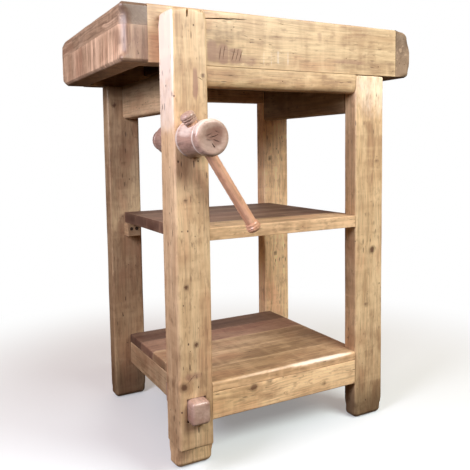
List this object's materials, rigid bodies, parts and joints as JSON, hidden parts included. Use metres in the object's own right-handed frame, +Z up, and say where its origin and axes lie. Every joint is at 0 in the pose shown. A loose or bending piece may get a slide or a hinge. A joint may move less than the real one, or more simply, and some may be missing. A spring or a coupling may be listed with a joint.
{
  "type": "kitchen island with leg vise",
  "caption": "Rustic solid-wood kitchen island shaped like a joiner's bench: thick worktop, plank legs, a middle and a lower shelf, and a working wooden leg vise at the front left.",
  "frame": {"origin": "on the floor, under the middle of the whole object's bounding box, vise screw included", "axes": "+Z up; -Y is the front, where the vise is; +X to the right seen from the front"},
  "size_m": [0.7, 0.622, 0.9],
  "materials": {
    "worktop_wood": "waxed, hand worn",
    "worktop_end_wood": "waxed, hand worn, darker end grain",
    "leg_wood": "waxed, hand worn",
    "rail_wood": "waxed, hand worn",
    "shelf_wood": "waxed, worn",
    "chop_wood": "waxed, hand worn",
    "turned_wood": "turned and waxed",
    "handle_wood": "turned and waxed",
    "screw_steel": "darkened steel"
  },
  "bodies": {
    "stand": {"top_front_board": "worktop_wood", "top_rear_board": "worktop_wood", "top_left_end_upper": "worktop_end_wood", "top_left_end_lower": "worktop_end_wood", "top_right_end": "worktop_end_wood", "top_plank_1": "worktop_wood", "top_plank_2": "worktop_wood", "top_plank_3": "worktop_wood", "top_plank_4": "worktop_wood", "top_plank_5": "worktop_wood", "top_batten_left": "worktop_wood", "top_batten_right": "worktop_wood", "leg_front_left": "leg_wood", "leg_front_right": "leg_wood", "leg_rear_left": "leg_wood", "leg_rear_right": "leg_wood", "front_top_rail": "rail_wood", "rear_apron": "rail_wood", "left_apron": "rail_wood", "right_apron": "rail_wood", "mid_shelf_board_1": "shelf_wood", "mid_shelf_board_2": "shelf_wood", "mid_shelf_board_3": "shelf_wood", "mid_shelf_board_4": "shelf_wood", "mid_shelf_board_5": "shelf_wood", "shelf_cleat_left": "rail_wood", "shelf_cleat_right": "rail_wood", "cleat_screw_1": "screw_steel", "cleat_screw_2": "screw_steel", "cleat_screw_3": "screw_steel", "cleat_screw_4": "screw_steel", "lower_front_rail": "rail_wood", "lower_rear_rail": "rail_wood", "lower_left_rail": "rail_wood", "lower_right_rail": "rail_wood", "lower_shelf_board_1": "shelf_wood", "lower_shelf_board_2": "shelf_wood", "lower_shelf_board_3": "shelf_wood", "lower_shelf_board_4": "shelf_wood", "lower_shelf_board_5": "shelf_wood", "screw_nut": "turned_wood"},
    "chop": {"vise_chop": "chop_wood", "vise_guide": "turned_wood"},
    "screw": {"vise_hub": "turned_wood", "vise_screw": "turned_wood", "screw_retainer": "turned_wood"},
    "handle": {"vise_handle": "handle_wood", "handle_knob_upper": "handle_wood", "handle_knob_lower": "handle_wood"}
  },
  "joints": [
    {"name": "chop_slide", "type": "slide", "parent": "stand", "child": "chop", "axis": [0, -1, 0], "range_m": [0, 0.032]},
    {"name": "screw_turn", "type": "hinge", "parent": "chop", "child": "screw", "pos_m": [-0.2437, -0.224, 0.652], "axis": [0, -1, 0], "range_deg": [0, 1440]},
    {"name": "handle_slide", "type": "slide", "parent": "screw", "child": "handle", "axis": [-0.5402, 0, 0.8415], "range_m": [0, 0.15]}
  ],
  "couplings": [
    {"joint": "chop_slide", "follows": "screw_turn", "m_per_rad": 0.0012732}
  ]
}
